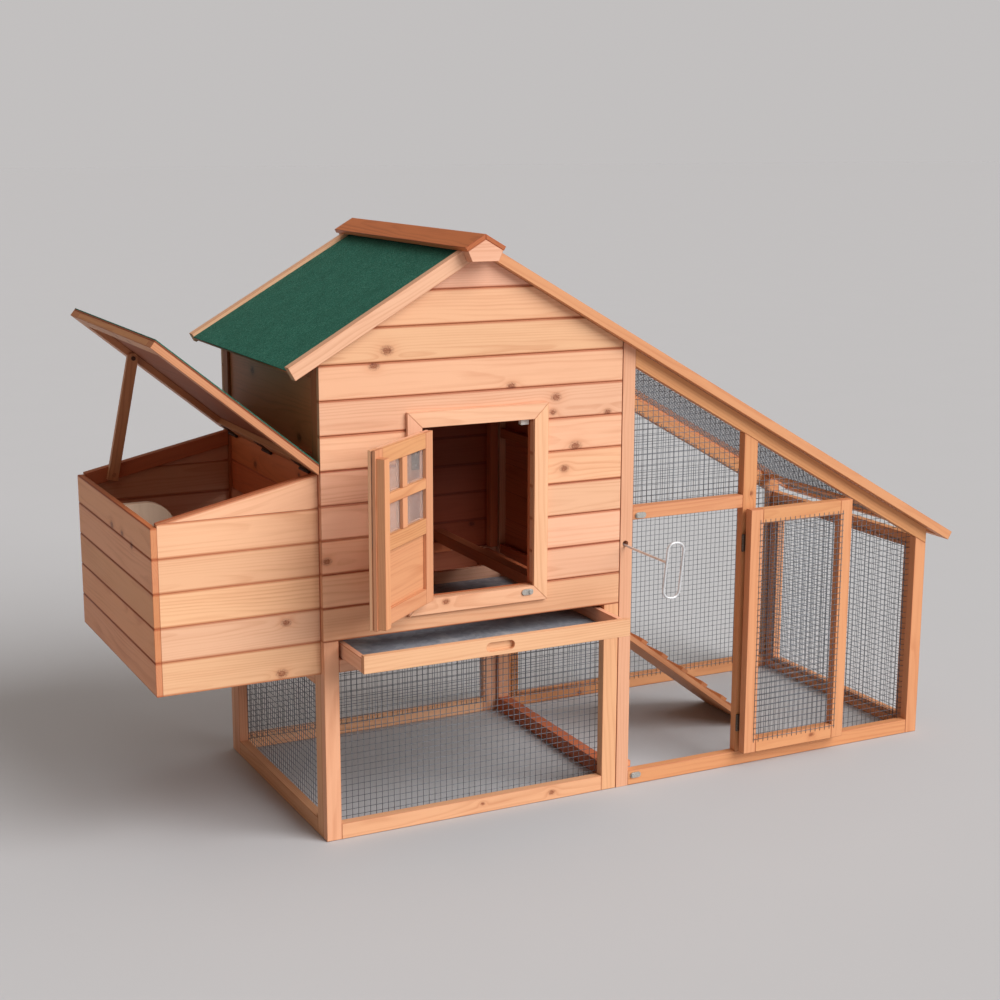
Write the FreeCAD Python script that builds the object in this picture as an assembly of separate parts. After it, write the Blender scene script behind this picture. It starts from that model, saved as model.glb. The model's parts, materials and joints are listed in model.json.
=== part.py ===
import FreeCAD, Part
import math
import os

# Small timber hen house on the left with an outside nest box, and a wire run on the right
# under one long roof slope.  Millimetres.  Axes while modelling: +X along the front from the
# house to the run, +Y from the front to the back, +Z up, zero at the house's front left foot.
# At the end everything is moved so that the origin is the middle of the footprint on the ground.
V = FreeCAD.Vector

# ------------------------------------------------------------------ driving dimensions
DEPTH = 585.0            # front face to back face
STOCK = 20.0             # thickness of panel frames
STILE = 30.0             # width of panel stiles and rails
HOUSE_W = 648.0          # width of the boarded house front
POST_X0, POST_X1 = 650.0, 678.0   # middle posts between house and run
RUN_X1 = 1451.0          # right end of the run
BOARD_T = 12.0           # siding thickness
BOARD_PITCH = 66.0       # siding pitch
SIDING_Z0 = 403.5        # foot of the siding
GROOVE = 1.6             # edge chamfer that makes the V joint
PITCH_DEG = 30.0         # roof slope
RIDGE_X, RIDGE_Z = 320.0, 1134.0  # line where both roof undersides meet
ROOF_T = 20.0            # barge boards above the roof's underside
BATTEN_T, DECK_T, FELT_T = 6.0, 5.0, 2.0
ROOF_Y0, ROOF_Y1 = -20.0, 595.0
EAVE_S_LEFT = 434.2      # slope length, house side
EAVE_S_RIGHT = 1360.2    # slope length, run side
FELT_S_RIGHT = 415.0     # boarded and felted part of it, over the house
MESH = 12.7              # welded mesh pitch
WIRE = 1.0               # wire thickness
DOOR_X0, DOOR_X1 = 205.0, 446.0   # front doorway
DOOR_Z0, DOOR_Z1 = 466.0, 803.0
DOOR_OPEN = 140.0        # how far the front door stands open
TRIM_W, TRIM_T = 31.0, 8.0
NEST_X = -321.0          # outer face of the nest box
NEST_Y0, NEST_Y1 = 15.0, 570.0
NEST_Z0 = 337.0
NEST_PITCH = 65.0
NEST_WALL_Z = 655.0      # top of the nest's outer wall
LID_SLOPE = 12.3         # closed lid
LID_OPEN = 51.7          # how far the lid stands open
LID_LEN, LID_T = 402.0, 18.0
LID_EDGE = -4.1          # x of the hinge line on the closed lid's underside
LID_PIN_DROP = 3.2       # the hinge pins lie this far under the lid
TRAY_OUT = 111.0         # how far the tray is pulled out
ROD_OUT = 159.0          # how far the pull rod stands out
ROD_X, ROD_Z = 662.0, 524.2
POP_Y0, POP_Y1 = 215.0, 375.0     # pop hole in the wall between house and run
POP_Z0, POP_Z1 = 403.5, 667.5
RAMP_Y0, RAMP_Y1 = 200.0, 390.0
RAMP_T = 12.0
RUN_POST_X0, RUN_POST_X1 = 949.0, 983.0
RUN_PIN = (950.4, -3.0)
ORIGIN_X, ORIGIN_Y = 593.484, 215.5075   # middle of the footprint

COS = math.cos(math.radians(PITCH_DEG))
SIN = math.sin(math.radians(PITCH_DEG))
TAN = math.tan(math.radians(PITCH_DEG))
NODES = {}


# ------------------------------------------------------------------ helpers
def box(x0, x1, y0, y1, z0, z1):
    return Part.makeBox(x1 - x0, y1 - y0, z1 - z0, V(x0, y0, z0))


def poly_face(points):
    return Part.Face(Part.makePolygon(points + [points[0]]))


def xz(points, y0, y1):
    """Prism: outline in X and Z, length along Y."""
    return poly_face([V(x, y0, z) for x, z in points]).extrude(V(0, y1 - y0, 0))


def yz(points, x0, x1):
    """Prism: outline in Y and Z, length along X."""
    return poly_face([V(x0, y, z) for y, z in points]).extrude(V(x1 - x0, 0, 0))


def xy(points, z0, z1):
    """Prism: outline in X and Y, height along Z."""
    return poly_face([V(x, y, z0) for x, y in points]).extrude(V(0, 0, z1 - z0))


def cyl(x, y, z, dx, dy, dz, r, h):
    return Part.makeCylinder(r, h, V(x, y, z), V(dx, dy, dz))


def add(name, *shapes):
    NODES.setdefault(name, []).extend(shapes)


def turned(shapes, point, axis, degrees):
    out = []
    for s in shapes:
        c = s.copy()
        c.rotate(point, axis, degrees)
        out.append(c)
    return out


def underside(x):
    """Height of the roof's underside above the front edge line at x."""
    return RIDGE_Z - abs(x - RIDGE_X) * TAN


def slope_point(side, s, n):
    """A point s down the slope from the ridge and n above the roof's underside."""
    return (RIDGE_X + side * (s * COS + n * SIN), RIDGE_Z - s * SIN + n * COS)


def slope_box(side, s0, s1, y0, y1, n0, n1):
    return xz([slope_point(side, s0, n0), slope_point(side, s1, n0),
               slope_point(side, s1, n1), slope_point(side, s0, n1)], y0, y1)


def siding_board(x0, x1, z0, z1, y_out, y_in):
    """Horizontal board with chamfered edges on its outer face, so that two make a V joint."""
    d = 1.0 if y_in > y_out else -1.0
    g = GROOVE
    return yz([(y_out, z0 + g), (y_out + d * g, z0), (y_in, z0), (y_in, z1),
               (y_out + d * g, z1), (y_out, z1 - g)], x0, x1)


def side_board(y0, y1, z0, z1, x_out, x_in):
    """The same board running along Y, for the side walls."""
    d = 1.0 if x_in > x_out else -1.0
    g = GROOVE
    return xz([(x_out, z0 + g), (x_out + d * g, z0), (x_in, z0), (x_in, z1),
               (x_out + d * g, z1), (x_out, z1 - g)], y0, y1)


def mesh_front(x0, x1, z0, z1, y_vert, y_horiz, top=None):
    """Welded mesh in a plane of constant Y: upright wires, then level wires behind or before them.
    top(x) gives a sloping upper edge that falls to the right."""
    out = []
    n = int((x1 - x0 - WIRE) // MESH)
    first = x0 + (x1 - x0 - n * MESH - WIRE) / 2.0
    for i in range(n + 1):
        a = first + i * MESH
        t = z1 if top is None else min(z1, top(a + WIRE))
        if t - z0 > 6:
            out.append(box(a, a + WIRE, y_vert, y_vert + WIRE, z0, t))
    height = z1 - z0
    m = int((height - WIRE) // MESH)
    first_z = z0 + (0.0 if top is not None else (height - m * MESH - WIRE) / 2.0) + (6.0 if top is not None else 0.0)
    for j in range(m + 1):
        b = first_z + j * MESH
        if b + WIRE > z1:
            break
        e = x1
        if top is not None:
            lo, hi = x0, x1
            if top(x1) < b + WIRE:
                while hi - lo > 0.01:
                    mid = (lo + hi) / 2
                    if top(mid) >= b + WIRE:
                        lo = mid
                    else:
                        hi = mid
                e = lo
        if e - x0 > 6:
            out.append(box(x0, e, y_horiz, y_horiz + WIRE, b, b + WIRE))
    return out


def mesh_side(y0, y1, z0, z1, x_vert, x_horiz):
    """Welded mesh in a plane of constant X."""
    out = []
    n = int((y1 - y0 - WIRE) // MESH)
    first = y0 + (y1 - y0 - n * MESH - WIRE) / 2.0
    for i in range(n + 1):
        a = first + i * MESH
        out.append(box(x_vert, x_vert + WIRE, a, a + WIRE, z0, z1))
    m = int((z1 - z0 - WIRE) // MESH)
    first_z = z0 + (z1 - z0 - m * MESH - WIRE) / 2.0
    for j in range(m + 1):
        b = first_z + j * MESH
        out.append(box(x_horiz, x_horiz + WIRE, y0, y1, b, b + WIRE))
    return out


# ------------------------------------------------------------------ house front
gable = poly_face([V(-1, -5, 300), V(HOUSE_W + 1, -5, 300), V(HOUSE_W + 1, -5, underside(HOUSE_W + 1)),
                   V(RIDGE_X, -5, RIDGE_Z), V(-1, -5, underside(-1))]).extrude(V(0, DEPTH + 10, 0))
z = SIDING_Z0
while z < RIDGE_Z - 1:
    top = z + BOARD_PITCH
    if top > RIDGE_Z:
        top = RIDGE_Z
    whole = z + BOARD_PITCH <= DOOR_Z0 or z >= DOOR_Z1 - 1
    if z > DOOR_Z0 and top < DOOR_Z1:
        add("house_front_siding", siding_board(0, DOOR_X0, z, top, 0, BOARD_T))
        add("house_front_siding", siding_board(DOOR_X1, HOUSE_W, z, top, 0, BOARD_T))
    else:
        b = siding_board(0, HOUSE_W, z, top, 0, BOARD_T)
        if top > DOOR_Z0 and z < DOOR_Z1:
            b = b.cut(box(DOOR_X0, DOOR_X1, -1, BOARD_T + 1, DOOR_Z0, DOOR_Z1))
        if top > underside(0) - 5:
            b = b.common(gable)
        add("house_front_siding", b)
    b = siding_board(0, HOUSE_W, z, top, DEPTH, DEPTH - BOARD_T)
    if top > underside(0) - 5:
        b = b.common(gable)
    add("house_rear_siding", b)
    z += BOARD_PITCH

# mitred trim round the doorway
tx0, tx1, tz0, tz1 = DOOR_X0 - TRIM_W, DOOR_X1 + TRIM_W, DOOR_Z0 - TRIM_W, DOOR_Z1 + TRIM_W
add("front_door_trim",
    xz([(tx0, tz0), (DOOR_X0, DOOR_Z0), (DOOR_X0, DOOR_Z1), (tx0, tz1)], -TRIM_T, 0),
    xz([(tx1, tz0), (tx1, tz1), (DOOR_X1, DOOR_Z1), (DOOR_X1, DOOR_Z0)], -TRIM_T, 0),
    xz([(tx0, tz0), (tx1, tz0), (DOOR_X1, DOOR_Z0), (DOOR_X0, DOOR_Z0)], -TRIM_T, 0),
    xz([(tx0, tz1), (DOOR_X0, DOOR_Z1), (DOOR_X1, DOOR_Z1), (tx1, tz1)], -TRIM_T, 0))

# battens behind the boards, corner posts inside, frame of the left wall
JAMB = 10.0
f0, f1 = BOARD_T, BOARD_T + JAMB
add("house_wall_battens",
    box(DOOR_X0 - 30, DOOR_X0, f0, f1, DOOR_Z0 - 30, DOOR_Z1 + 30),
    box(DOOR_X1, DOOR_X1 + 30, f0, f1, DOOR_Z0 - 30, DOOR_Z1 + 30),
    box(DOOR_X0, DOOR_X1, f0, f1, DOOR_Z1, DOOR_Z1 + 30),
    box(DOOR_X0, DOOR_X1, f0, f1, DOOR_Z0 - 30, DOOR_Z0))
cl = 20.0
for ya, yb in ((f0, f0 + 20), (DEPTH - f0 - 20, DEPTH - f0)):
    add("house_wall_battens",
        xz([(cl, 403.5), (cl + 20, 403.5), (cl + 20, underside(cl + 20)), (cl, underside(cl))], ya, yb),
        xz([(HOUSE_W - 22, 403.5), (HOUSE_W - 2, 403.5), (HOUSE_W - 2, underside(HOUSE_W - 2)),
            (HOUSE_W - 22, underside(HOUSE_W - 22))], ya, yb))
# left wall, above and beside the nest openings
lw0, lw1 = 0.0, 20.0
eave = underside(0)


def left_top(z0, y0, y1):
    return xz([(lw0, z0), (lw1, z0), (lw1, underside(lw1)), (lw0, underside(lw0))], y0, y1)


add("house_wall_battens",
    left_top(403.5, f0, f0 + 30), left_top(403.5, DEPTH - f0 - 30, DEPTH - f0),
    xz([(lw0, 905), (lw1, 905), (lw1, underside(lw1)), (lw0, underside(lw0))], f0 + 30, DEPTH - f0 - 30),
    box(lw0, lw1, f0 + 30, DEPTH - f0 - 30, 728, 760),
    box(lw0, lw1, STOCK, DEPTH - STOCK, 337, 403.5),
    box(lw0, lw1, 277.5, 307.5, 403.5, 602))
add("left_wall_boards", box(6, 10, f0 + 30, DEPTH - f0 - 30, 760, 905))
add("left_wall_boards",
    side_board(f0 + 30, DEPTH - f0 - 30, 602, 665, lw0 + 4, lw0 + 16),
    side_board(f0 + 30, DEPTH - f0 - 30, 665, 728, lw0 + 4, lw0 + 16))

# wall between house and run, boards split round the pop hole
wx0, wx1 = POST_X1 - BOARD_T, POST_X1
wy0, wy1 = 30.0, DEPTH - 30.0
rows = [337.5 + 66 * i for i in range(0, 9)]
for i, z in enumerate(rows):
    top = min(z + 66.0, underside(wx1) - 0.0)
    if z < SIDING_Z0 - 1:
        add("right_wall_boards", side_board(wy0, wy1, z, SIDING_Z0, wx1, wx0))
        continue
    if z >= POP_Z0 - 0.5 and top <= POP_Z1 + 0.5:
        add("right_wall_boards", side_board(wy0, POP_Y0, z, top, wx1, wx0),
            side_board(POP_Y1, wy1, z, top, wx1, wx0))
    elif top < underside(wx1) - 0.5:
        add("right_wall_boards", side_board(wy0, wy1, z, top, wx1, wx0))
    else:
        add("right_wall_boards",
            xz([(wx0, z), (wx1 - GROOVE, z), (wx1, z + GROOVE), (wx1, underside(wx1)), (wx0, underside(wx0))], wy0, wy1))

# middle posts, front one drilled for the pull rod
post = xz([(POST_X0, 0), (POST_X1, 0), (POST_X1, underside(POST_X1)), (POST_X0, underside(POST_X0))], 0, 30)
post = post.cut(cyl(ROD_X, -1, 528.0, 0, 1, 0, 6.6, 32))
add("middle_posts", post,
    xz([(POST_X0, 0), (POST_X1, 0), (POST_X1, underside(POST_X1)), (POST_X0, underside(POST_X0))],
       DEPTH - 30, DEPTH))
add("cross_rails",
    box(POST_X0, POST_X1, 30, DEPTH - 30, 0, 32),
    box(POST_X0 + 1, wx0, 30, DEPTH - 30, 337.5, 366))

# ------------------------------------------------------------------ lower panels under the house
mz = 345.0
add("lower_front_frame",
    box(0, 31, 0, STOCK, 0, SIDING_Z0), box(614, HOUSE_W, 0, STOCK, 0, SIDING_Z0),
    box(31, 614, 0, STOCK, 0, 32), box(31, 614, 0, STOCK, 340, 366))
add("lower_front_mesh", *mesh_front(23, 622, 22, mz, STOCK, STOCK + WIRE))
add("lower_left_frame",
    box(0, STOCK, STOCK, STOCK + STILE, 0, 337), box(0, STOCK, DEPTH - STOCK - STILE, DEPTH - STOCK, 0, 337),
    box(0, STOCK, STOCK + STILE, DEPTH - STOCK - STILE, 0, 32),
    box(0, STOCK, STOCK + STILE, DEPTH - STOCK - STILE, 307, 337))
add("lower_left_mesh", *mesh_side(38, DEPTH - 38, 22, 317, STOCK, STOCK + WIRE))
add("lower_rear_frame",
    box(0, 31, DEPTH - STOCK, DEPTH, 0, SIDING_Z0), box(614, HOUSE_W, DEPTH - STOCK, DEPTH, 0, SIDING_Z0),
    box(31, 614, DEPTH - STOCK, DEPTH, 0, 32), box(31, 614, DEPTH - STOCK, DEPTH, 340, SIDING_Z0))
add("lower_rear_mesh", *mesh_front(23, 622, 22, mz, DEPTH - STOCK - WIRE, DEPTH - STOCK - 2 * WIRE))
add("tray_runners",
    box(31, 51, STOCK, DEPTH - STOCK, 346, 366), box(597, 617, STOCK, DEPTH - STOCK, 346, 366),
    box(21, 33.5, STOCK + 12, DEPTH - STOCK, 366, 400), box(614.5, 627, STOCK + 12, DEPTH - STOCK, 366, 400))

# roost perch on two blocks
add("perch", box(490, 515, f0 + 0.5, DEPTH - f0 - 0.5, 430, 455),
    box(480, 525, f0, f0 + 20, 405, 430), box(480, 525, DEPTH - f0 - 20, DEPTH - f0, 405, 430))

# guides of the sliding pop door, on the house side of the wall
add("pop_door_guides",
    box(658.6, wx0, 33, 552, 672, 684), box(651, 658.6, 33, 552, 662, 684),
    box(658.6, wx0, 33, 552, 388, 399.6), box(651, 658.6, 33, 552, 388, 410))

# ------------------------------------------------------------------ roof
def roof_side(side, length, covered, marks, drop):
    """One slope. Its front barge board reaches drop below the roof's underside."""
    n1, n2 = BATTEN_T + DECK_T, BATTEN_T + DECK_T + FELT_T
    add("roof_frame", slope_box(side, 0, length, ROOF_Y0, 0, -drop, ROOF_T),
        slope_box(side, 0, length, ROOF_Y1 - 20, ROOF_Y1, 0, ROOF_T))
    for s in marks:
        add("roof_frame", slope_box(side, s, s + 30, 0, ROOF_Y1 - 20, 0, BATTEN_T))
    add("roof_decks", slope_box(side, 0, covered, 0, ROOF_Y1 - 20, BATTEN_T, n1))
    add("roof_felts", slope_box(side, 0, covered, 0, ROOF_Y1 - 20, n1, n2))


# the house is boarded and felted on both slopes; over the run the long slope is open wire mesh
roof_side(-1, EAVE_S_LEFT, EAVE_S_LEFT, (2, 200), 8.5)
roof_side(1, EAVE_S_RIGHT, FELT_S_RIGHT, (2, 400, 1247), 0.0)
add("roof_frame", slope_box(1, EAVE_S_RIGHT - 20, EAVE_S_RIGHT, 0, ROOF_Y1 - 20, 0, ROOF_T))
s0, s1 = FELT_S_RIGHT + 1.0, EAVE_S_RIGHT - 20.0
count = int((s1 - s0 - WIRE) // MESH)
first = s0 + (s1 - s0 - count * MESH - WIRE) / 2.0
for i in range(count + 1):
    a = first + i * MESH
    add("run_roof_mesh", slope_box(1, a, a + WIRE, 0.5, ROOF_Y1 - 20.5, BATTEN_T, BATTEN_T + WIRE))
count = int((ROOF_Y1 - 21.0 - WIRE) // MESH)
first = (ROOF_Y1 - 20.0 - count * MESH - WIRE) / 2.0
for i in range(count + 1):
    a = first + i * MESH
    add("run_roof_mesh", slope_box(1, s0, s1, a, a + WIRE, BATTEN_T + WIRE, BATTEN_T + 2 * WIRE))
CAP_W, CAP_T = 21.0, 9.0
for side in (-1, 1):
    apex0 = RIDGE_Z + ROOF_T / COS
    apex1 = RIDGE_Z + (ROOF_T + CAP_T) / COS
    a = slope_point(side, CAP_W + ROOF_T * TAN, ROOF_T)
    b = slope_point(side, CAP_W + ROOF_T * TAN, ROOF_T + CAP_T)
    add("ridge_cap", xz([(RIDGE_X, apex0), a, b, (RIDGE_X, apex1)], -46, 622))
blk = [(RIDGE_X, RIDGE_Z + ROOF_T / COS), (RIDGE_X + 37, RIDGE_Z + ROOF_T / COS - 37 * TAN),
       (RIDGE_X + 28, 1115.5), (RIDGE_X - 28, 1115.5), (RIDGE_X - 37, RIDGE_Z + ROOF_T / COS - 37 * TAN)]
add("ridge_end_blocks", xz(blk, -46, -20), xz(blk, 595, 613))

# ------------------------------------------------------------------ run
def rail_low(x):
    """Lower edge of the slanted rail under the roof."""
    return underside(x) - STILE / COS


RX0 = POST_X1
slant = [(RX0, rail_low(RX0)), (RUN_X1, rail_low(RUN_X1)), (RUN_X1, underside(RUN_X1)), (RX0, underside(RX0))]
DW_X1 = RUN_POST_X0
HEAD_Z0, HEAD_Z1 = 576.0, 604.0
end_post = [(1421, 0), (RUN_X1, 0), (RUN_X1, rail_low(RUN_X1)), (1421, rail_low(1421))]
mid_post = [(RUN_POST_X0, 32), (RUN_POST_X1, 32), (RUN_POST_X1, rail_low(RUN_POST_X1)), (RUN_POST_X0, rail_low(RUN_POST_X0))]
add("run_front_frame",
    box(RX0, 1421, 0, STOCK, 0, 32), xz(slant, 0, STOCK), xz(mid_post, 0, STOCK), xz(end_post, 0, STOCK),
    box(RX0, DW_X1, 0, STOCK, HEAD_Z0, HEAD_Z1),
    box(RX0, RX0 + 19, 20.6, 34, 32.0, 46.0))
yr = DEPTH - STOCK
add("run_rear_frame",
    box(RX0, 1421, yr, DEPTH, 0, 32), xz(slant, yr, DEPTH), xz(end_post, yr, DEPTH),
    xz(mid_post, yr, DEPTH),
    xz([(RX0, 32), (RX0 + 30, 32), (RX0 + 30, rail_low(RX0 + 30)), (RX0, rail_low(RX0))], yr, DEPTH))
add("run_end_frame",
    box(RUN_X1 - STOCK, RUN_X1, STOCK, STOCK + STILE, 0, 432), box(RUN_X1 - STOCK, RUN_X1, yr - STILE, yr, 0, 432),
    box(RUN_X1 - STOCK, RUN_X1, STOCK + STILE, yr - STILE, 0, 32),
    box(RUN_X1 - STOCK, RUN_X1, STOCK, yr, 432, 462))
low8 = lambda x: rail_low(x) + 9.0
add("run_front_mesh",
    *mesh_front(RX0 + 0.5, RUN_POST_X0 + 8, HEAD_Z0 + 10, 905, STOCK, STOCK + WIRE, low8),
    *mesh_front(RUN_POST_X1 - 9, 1428.5, 22, 735, STOCK, STOCK + WIRE, low8))
add("run_rear_mesh", *mesh_front(RX0 + 10, 1428.5, 22, 905, yr - WIRE, yr - 2 * WIRE, low8))
add("run_end_mesh", *mesh_side(40, DEPTH - 40, 20, 445, RUN_X1 - STOCK - WIRE, RUN_X1 - STOCK - 2 * WIRE))

# ------------------------------------------------------------------ nest box
LT = math.tan(math.radians(LID_SLOPE))


def nest_top(x):
    return 727.4 + x * LT


def nest_side(y0, y1):
    """End wall of the nest: level boards, the upper ones cut to the slope of the lid."""
    zz = NEST_Z0
    while zz < 720:
        top = zz + NEST_PITCH
        if top > 720:
            top = 728.0
        xl, xr = NEST_X + 12, 0.0
        ring = [(xl, zz), (xr, zz), (xr, top), (xl, top)]
        pts = []
        for i, p in enumerate(ring):
            q = ring[(i + 1) % 4]
            dp, dq = nest_top(p[0]) - p[1], nest_top(q[0]) - q[1]
            if dp >= -1e-9:
                pts.append(p)
            if (dp > 1e-9 and dq < -1e-9) or (dp < -1e-9 and dq > 1e-9):
                f = dp / (dp - dq)
                pts.append((p[0] + f * (q[0] - p[0]), p[1] + f * (q[1] - p[1])))
        add("nest_walls", xz(pts, y0, y1))
        zz += NEST_PITCH


nest_side(NEST_Y0, NEST_Y0 + 12)
nest_side(NEST_Y1 - 12, NEST_Y1)
zz = NEST_Z0
while zz < NEST_WALL_Z - 1:
    top = min(zz + NEST_PITCH, NEST_WALL_Z)
    add("nest_walls", side_board(NEST_Y0, NEST_Y1, zz, top, NEST_X, NEST_X + 12))
    zz += NEST_PITCH
add("nest_floor", box(NEST_X + 12, 0, NEST_Y0 + 12, NEST_Y1 - 12, NEST_Z0, NEST_Z0 + 12))
dv = xz([(NEST_X + 12.5, NEST_Z0 + 12), (-195.0, NEST_Z0 + 12), (-195.0, 645.0), (NEST_X + 12.5, 645.0)], 286.5, 298.5)
dv = dv.makeFillet(62, [e for e in dv.Edges if abs(e.Length - 12) < 0.01 and e.BoundBox.XMin > -196 and e.BoundBox.ZMin > 600])
add("nest_divider", dv)
add("nest_battens",
    xz([(NEST_X + 13, nest_top(NEST_X + 13) - 30), (-1, nest_top(-1) - 30), (-1, nest_top(-1)), (NEST_X + 13, nest_top(NEST_X + 13))], 548, 558),
    xz([(NEST_X + 13, nest_top(NEST_X + 13) - 20), (-1, nest_top(-1) - 20), (-1, nest_top(-1)), (NEST_X + 13, nest_top(NEST_X + 13))], 27, 37),
    box(NEST_X + 12, NEST_X + 30, 27, 45, NEST_Z0 + 12, 630), box(NEST_X + 12, NEST_X + 30, 540, 558, NEST_Z0 + 12, 630))

# nest lid, drawn closed and turned open about its pins.  Its end beside the house is cut on the
# slant, so that it stands upright against the wall when the lid is open
cs, sn = math.cos(math.radians(LID_SLOPE)), math.sin(math.radians(LID_SLOPE))
L0 = (LID_EDGE, nest_top(LID_EDGE) + 0.6 + 0.7 / cs)
PX, PZ = L0[0] + LID_PIN_DROP * sn, L0[1] - LID_PIN_DROP * cs
BEVEL = math.tan(math.radians(LID_OPEN - LID_SLOPE))


def lid_pt(t, m):
    return (L0[0] - t * cs - m * sn, L0[1] - t * sn + m * cs)


def lid_box(t0, t1, y0, y1, m0, m1, near=False):
    a, b = (t0 + m0 * BEVEL, t0 + m1 * BEVEL) if near else (t0, t0)
    return xz([lid_pt(a, m0), lid_pt(t1, m0), lid_pt(t1, m1), lid_pt(b, m1)], y0, y1)


LY0, LY1 = 0.0, DEPTH + 20.0
PIN = V(PX, 0, PZ)
YAX = V(0, 1, 0)
T0 = 0.5
add("nest_lid_frame", *turned([
    lid_box(T0, LID_LEN, LY0, LY0 + 30, 0, 13, True), lid_box(T0, LID_LEN, 547, LY1, 0, 13, True),
    lid_box(T0, 30, LY0 + 30, 547, 0, 13, True), lid_box(LID_LEN - 30, LID_LEN, LY0 + 30, 547, 0, 13)], PIN, YAX, LID_OPEN))
add("nest_lid_panel", *turned([lid_box(T0, LID_LEN, LY0, LY1, 13, 16, True)], PIN, YAX, LID_OPEN))
add("nest_lid_felt", *turned([lid_box(T0, LID_LEN, LY0, LY1, 16, LID_T, True)], PIN, YAX, LID_OPEN))


def screw(x, y, z, nx, ny, nz, t, r=2.7):
    """Pan-head screw over a plate of thickness t that lies on wood: the head and the stub in the plate.
    The point is on the wood's face, the direction points out of the wood."""
    d = V(nx, ny, nz)
    p = V(x, y, z)
    head = Part.makeCone(r, r * 0.62, 1.1, p + d * t, d)
    return Part.makeCylinder(1.5, t, p, d).fuse(head)


def screw_hole(x, y, z, nx, ny, nz, t):
    return Part.makeCylinder(1.52, t + 2, V(x, y, z) - V(nx, ny, nz), V(nx, ny, nz))


def knuckle(p, axis, r_out, r_in, a, b):
    base = V(*p) + V(*axis) * a
    outer = Part.makeCylinder(r_out, b - a, base, V(*axis))
    return outer.cut(Part.makeCylinder(r_in, b - a, base, V(*axis)))


# three lid hinges: wall leaf with two knuckles, lid leaf with one, a pin through them
for yc in (75.0, 292.5, 510.0):
    a, b = yc - 25, yc + 25
    p = (PX, 0, PZ)
    bore = cyl(PX, a - 1, PZ, 0, 1, 0, 1.65, b - a + 2)
    wall = box(-1.2, 0, a, b, PZ + 3.3, PZ + 30).fuse([
        box(-1.2, 0, a, a + 16, PZ - 2, PZ + 4), box(-1.2, 0, b - 16, b, PZ - 2, PZ + 4),
        knuckle(p, (0, 1, 0), 3.0, 1.65, a, a + 16), knuckle(p, (0, 1, 0), 3.0, 1.65, b - 16, b)])
    sw = [(0.0, yc - 15, PZ + 20), (0.0, yc + 15, PZ + 20)]
    wall = wall.cut(bore)
    for q in sw:
        wall = wall.cut(cyl(1, q[1], q[2], -1, 0, 0, 2.52, 3))
        add("hinge_and_button_screws", cyl(0, q[1], q[2], -1, 0, 0, 2.5, 1.15))
    add("nest_lid_hinges_fixed", wall, cyl(PX, a - 0.8, PZ, 0, 1, 0, 1.6, b - a + 1.6))
    moving = knuckle(p, (0, 1, 0), 3.0, 1.65, a + 16.4, b - 16.4).fuse([
        lid_box(0.5, 26, a + 16.4, b - 16.4, -1.2, 0), lid_box(3.8, 26, a, b, -1.2, 0)]).cut(bore)
    lw = []
    for dy in (-15, 15):
        q = lid_pt(18, 0)
        nd = (sn, 0, -cs)
        moving = moving.cut(screw_hole(q[0], yc + dy, q[1], nd[0], nd[1], nd[2], 1.2))
        lw.append(screw(q[0], yc + dy, q[1], nd[0], nd[1], nd[2], 1.2))
    add("nest_lid_hinges_moving", *turned([moving] + lw, PIN, YAX, LID_OPEN))

# prop: pivots on the lid's rear rail, stands beside the rear nest wall
pv = lid_pt(263.0, 1.5)
rel = V(pv[0], 0, pv[1]).sub(PIN)
th = math.radians(LID_OPEN)
PP = (PX + rel.x * math.cos(th) + rel.z * math.sin(th), PZ - rel.x * math.sin(th) + rel.z * math.cos(th))
foot = (-254.5, 652.0)
pl = math.hypot(foot[0] - PP[0], foot[1] - PP[1])
du = ((foot[0] - PP[0]) / pl, (foot[1] - PP[1]) / pl)
nu = (-du[1], du[0])
HW = 11.0


def prop_pt(a, b):
    return (PP[0] + du[0] * a + nu[0] * b, PP[1] + du[1] * a + nu[1] * b)


prop = xz([prop_pt(0, -HW), prop_pt(pl + 9, -HW), prop_pt(pl + 9, HW), prop_pt(0, HW)], 533, 546)
prop = prop.fuse(cyl(PP[0], 533, PP[1], 0, 1, 0, HW, 13)).removeSplitter()
prop = prop.cut(cyl(PP[0], 532, PP[1], 0, 1, 0, 2.3, 15))
fs = prop_pt(pl - 4, 0)
prop = prop.cut(cyl(fs[0], 532, fs[1], 0, 1, 0, 2.0, 15))
add("nest_lid_prop", prop, cyl(fs[0], 531.0, fs[1], 0, 1, 0, 4.0, 2.0).fuse(cyl(fs[0], 533, fs[1], 0, 1, 0, 1.95, 11)))
add("nest_lid_hinges_moving",
    cyl(PP[0], 529.6, PP[1], 0, 1, 0, 4.5, 3.0).fuse(cyl(PP[0], 532.6, PP[1], 0, 1, 0, 2.25, 14.4)))

# ------------------------------------------------------------------ front door, drawn closed
DPX, DPY = 206.0, -12.2
DX0, DX1, DZ0, DZ1 = 207.5, 444.0, 468.0, 801.0
SW = 30.0
zrows = (DZ1 - 30, DZ1 - 87, DZ1 - 107, DZ1 - 164, DZ1 - 194, DZ0 + 30)
DP = V(DPX, DPY, 0)
ZAX = V(0, 0, 1)
yi0, yi1 = 0.0, 7.0
mx = (DX0 + DX1) / 2
leaf_parts = [
    box(DX0, DX0 + SW, yi0, yi1, DZ0, DZ1), box(DX1 - SW, DX1, yi0, yi1, DZ0, DZ1),
    box(DX0 + SW, DX1 - SW, yi0, yi1, zrows[0], DZ1), box(DX0 + SW, DX1 - SW, yi0, yi1, DZ0, zrows[5]),
    box(DX0 + SW, DX1 - SW, yi0, yi1, zrows[4], zrows[3]),
    box(DX0 + SW, DX1 - SW, yi0, yi1, zrows[2], zrows[1]),
    box(mx - 10, mx + 10, yi0, yi1, zrows[1], zrows[0]), box(mx - 10, mx + 10, yi0, yi1, zrows[3], zrows[2])]
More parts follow.
